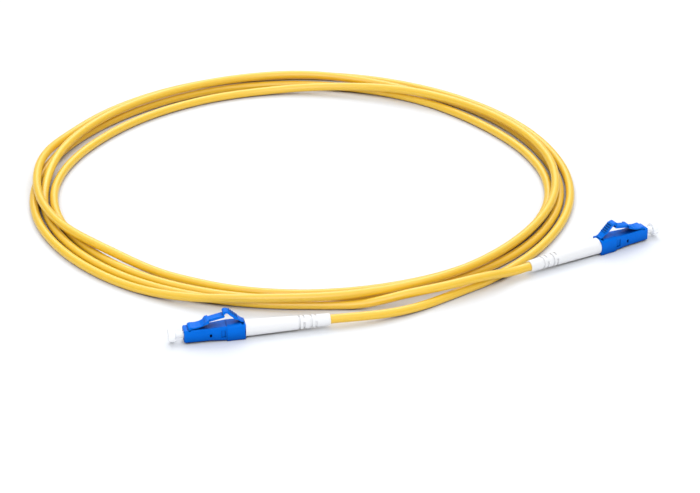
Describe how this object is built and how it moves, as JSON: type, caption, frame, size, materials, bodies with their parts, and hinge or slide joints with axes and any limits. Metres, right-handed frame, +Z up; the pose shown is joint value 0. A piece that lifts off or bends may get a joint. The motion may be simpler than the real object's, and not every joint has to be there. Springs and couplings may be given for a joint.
{
  "type": "fiber optic patch cord",
  "caption": "Simplex fiber optic patch cord: round yellow jacket wound in a loose coil, with a small latching plug, tapered slotted boot and dust cap on each end.",
  "frame": {"origin": "on the surface the cord lies on, under the middle of the box round the two plugs", "axes": "+X to the right along the longer side of the two plugs' box, +Y away from the viewer towards the coil's middle, +Z up"},
  "size_m": [0.221, 0.2085, 0.0104],
  "materials": {
    "yellow_jacket": "soft PVC, satin",
    "blue_plastic": "moulded, semi-gloss",
    "white_boot": "moulded elastomer, satin",
    "white_cap": "milky polyethylene",
    "ceramic": "polished zirconia",
    "steel": "turned",
    "nickel": "nickel plated",
    "aramid": "combed yarn",
    "white_buffer": "tight buffer"
  },
  "bodies": {
    "cord": {"cable_coil": "yellow_jacket", "cable_lead_a": "yellow_jacket", "cable_lead_b": "yellow_jacket", "front_housing_a": "blue_plastic", "rear_body_a": "blue_plastic", "back_post_a": "steel", "crimp_sleeve_a": "nickel", "aramid_yarn_a": "aramid", "buffered_fiber_a": "white_buffer", "jacket_end_a": "yellow_jacket", "boot_a": "white_boot", "spring_a": "steel", "front_housing_b": "blue_plastic", "rear_body_b": "blue_plastic", "back_post_b": "steel", "crimp_sleeve_b": "nickel", "aramid_yarn_b": "aramid", "buffered_fiber_b": "white_buffer", "jacket_end_b": "yellow_jacket", "boot_b": "white_boot", "spring_b": "steel"},
    "latch_a": {"latch_arm_a": "blue_plastic"},
    "trigger_a": {"trigger_a": "blue_plastic"},
    "ferrule_set_a": {"ferrule_a": "ceramic", "ferrule_flange_a": "steel"},
    "cap_a": {"dust_cap_a": "white_cap"},
    "latch_b": {"latch_arm_b": "blue_plastic"},
    "trigger_b": {"trigger_b": "blue_plastic"},
    "ferrule_set_b": {"ferrule_b": "ceramic", "ferrule_flange_b": "steel"},
    "cap_b": {"dust_cap_b": "white_cap"}
  },
  "joints": [
    {"name": "trigger_press_a", "type": "hinge", "parent": "cord", "child": "trigger_a", "pos_m": [-0.05912, -0.03267, 0.0058], "axis": [0.2045, -0.9789, 0], "range_deg": [0, 14], "stiffness_Nm_per_rad": 0.004},
    {"name": "latch_press_a", "type": "hinge", "parent": "cord", "child": "latch_a", "pos_m": [-0.0762, -0.03624, 0.0052], "axis": [-0.2045, 0.9789, 0], "range_deg": [0, 8], "stiffness_Nm_per_rad": 0.005},
    {"name": "ferrule_float_a", "type": "slide", "parent": "cord", "child": "ferrule_set_a", "axis": [0.9789, 0.2045, 0], "range_m": [0, 0.001], "stiffness_N_per_m": 1500, "deforming": ["spring_a"]},
    {"name": "cap_pull_a", "type": "slide", "parent": "cord", "child": "cap_a", "axis": [-0.9789, -0.2045, 0], "range_m": [0, 0.01]},
    {"name": "trigger_press_b", "type": "hinge", "parent": "cord", "child": "trigger_b", "pos_m": [0.06163, 0.02512, 0.0058], "axis": [-0.5299, 0.848, 0], "range_deg": [0, 14], "stiffness_Nm_per_rad": 0.004},
    {"name": "latch_press_b", "type": "hinge", "parent": "cord", "child": "latch_b", "pos_m": [0.07643, 0.03436, 0.0052], "axis": [0.5299, -0.848, 0], "range_deg": [0, 8], "stiffness_Nm_per_rad": 0.005},
    {"name": "ferrule_float_b", "type": "slide", "parent": "cord", "child": "ferrule_set_b", "axis": [-0.848, -0.5299, 0], "range_m": [0, 0.001], "stiffness_N_per_m": 1500, "deforming": ["spring_b"]},
    {"name": "cap_pull_b", "type": "slide", "parent": "cord", "child": "cap_b", "axis": [0.848, 0.5299, 0], "range_m": [0, 0.01]}
  ],
  "couplings": [
    {"joint": "latch_press_a", "follows": "trigger_press_a", "ratio": 0.5},
    {"joint": "latch_press_b", "follows": "trigger_press_b", "ratio": 0.5}
  ]
}
